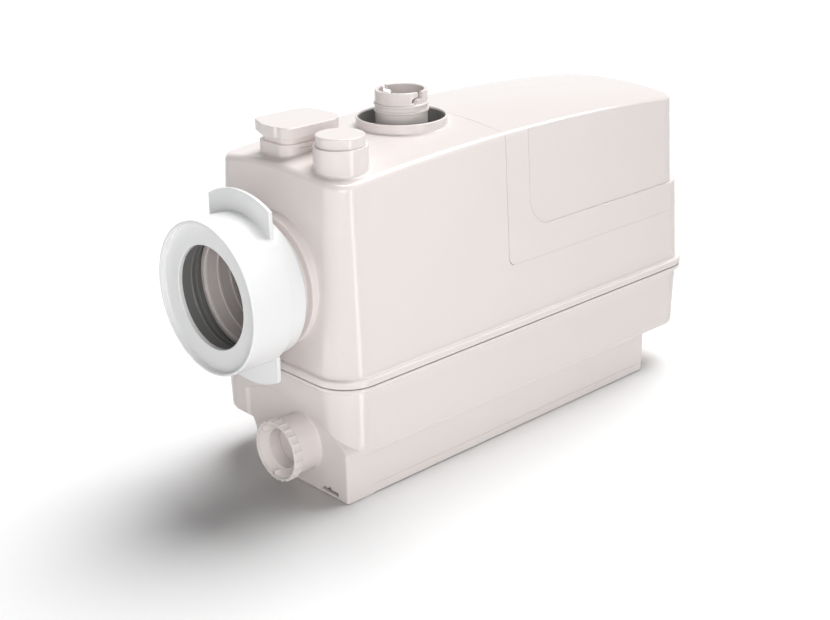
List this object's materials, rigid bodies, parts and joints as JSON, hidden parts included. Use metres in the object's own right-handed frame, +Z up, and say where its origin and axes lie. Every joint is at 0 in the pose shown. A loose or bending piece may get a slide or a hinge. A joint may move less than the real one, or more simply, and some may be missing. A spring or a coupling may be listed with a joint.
{
  "type": "sewage lifting station",
  "caption": "Compact macerating sewage lifting station for a toilet and a shower, with a macerator pump and motor inside.",
  "frame": {"origin": "on the floor, under the middle of the tank's length and depth", "axes": "+X along the tank, away from the toilet inlet; the long side that people see faces -Y; +Z up"},
  "size_m": [0.528, 0.1926, 0.315],
  "materials": {
    "body_plastic": "moulded, satin gloss, pale warm white",
    "sleeve_plastic": "moulded, satin gloss, neutral white",
    "black_rubber": "matt",
    "stainless_steel": "turned",
    "dark_plastic": "moulded, matt",
    "pump_casting": "cast, painted",
    "motor_casting": "die cast",
    "core_steel": "stacked sheet",
    "bearing_steel": "ground",
    "copper": "enamelled copper wire",
    "board_green": "solder mask",
    "switch_plastic": "moulded",
    "button_red": "moulded"
  },
  "bodies": {
    "tank": {"lower_tank": "body_plastic", "tank_gasket": "black_rubber", "tank_screws": "stainless_steel", "rubber_feet": "black_rubber", "upper_housing": "body_plastic", "shower_valve_ring": "body_plastic", "shower_flap_pin": "stainless_steel", "carbon_filter": "dark_plastic", "discharge_pipe": "body_plastic", "discharge_seal": "black_rubber", "valve_housing": "dark_plastic", "check_flap_pin": "stainless_steel", "riser_pipe": "dark_plastic", "riser_sleeve": "black_rubber", "pump_housing": "pump_casting", "suction_plate": "pump_casting", "suction_screws": "stainless_steel", "cutter_ring": "stainless_steel", "pump_column": "dark_plastic", "column_screws": "stainless_steel", "shaft_seal": "black_rubber", "lower_bearing": "bearing_steel", "upper_bearing": "bearing_steel", "stator_core": "core_steel", "windings": "copper", "motor_can": "motor_casting", "end_shield": "motor_casting", "capacitor": "dark_plastic", "capacitor_strap": "stainless_steel", "control_box": "dark_plastic", "control_lid": "dark_plastic", "circuit_board": "board_green", "pressure_switch": "switch_plastic", "air_bell": "dark_plastic", "pressure_hose": "black_rubber", "cable_gland": "dark_plastic", "gland_nut": "dark_plastic"},
    "rotor": {"motor_shaft": "stainless_steel", "rotor_core": "core_steel", "impeller": "pump_casting", "cutter_knife": "stainless_steel", "shaft_nut": "stainless_steel"},
    "cover": {"motor_cover": "body_plastic"},
    "sleeve": {"wc_sleeve": "sleeve_plastic", "wc_seal": "black_rubber"},
    "cap": {"port_cap": "body_plastic", "port_seal": "black_rubber"},
    "lid": {"vent_lid": "body_plastic"},
    "outlet_flap": {"check_flap": "black_rubber"},
    "inlet_flap": {"shower_flap": "body_plastic"},
    "plunger": {"switch_plunger": "button_red"}
  },
  "joints": [
    {"name": "rotor_spin", "type": "hinge", "parent": "tank", "child": "rotor", "pos_m": [0.095, 0, 0.07], "axis": [0, 0, 1], "continuous": true},
    {"name": "cover_lift", "type": "slide", "parent": "tank", "child": "cover", "axis": [0, 0, 1], "range_m": [0, 0.13]},
    {"name": "sleeve_pull", "type": "slide", "parent": "tank", "child": "sleeve", "axis": [-1, 0, 0], "range_m": [0, 0.06]},
    {"name": "cap_lift", "type": "slide", "parent": "tank", "child": "cap", "axis": [0, 0, 1], "range_m": [0, 0.03]},
    {"name": "lid_lift", "type": "slide", "parent": "tank", "child": "lid", "axis": [0, 0, 1], "range_m": [0, 0.03]},
    {"name": "outlet_flap_swing", "type": "hinge", "parent": "tank", "child": "outlet_flap", "pos_m": [-0.1, 0, 0.2197], "axis": [0, -1, 0], "range_deg": [0, 60]},
    {"name": "inlet_flap_swing", "type": "hinge", "parent": "tank", "child": "inlet_flap", "pos_m": [-0.2341, -0.0283, 0.0602], "axis": [0, -1, 0], "range_deg": [0, 60]},
    {"name": "plunger_travel", "type": "slide", "parent": "tank", "child": "plunger", "axis": [0, 0, 1], "range_m": [0, 0.0015], "stiffness_N_per_m": 300}
  ]
}
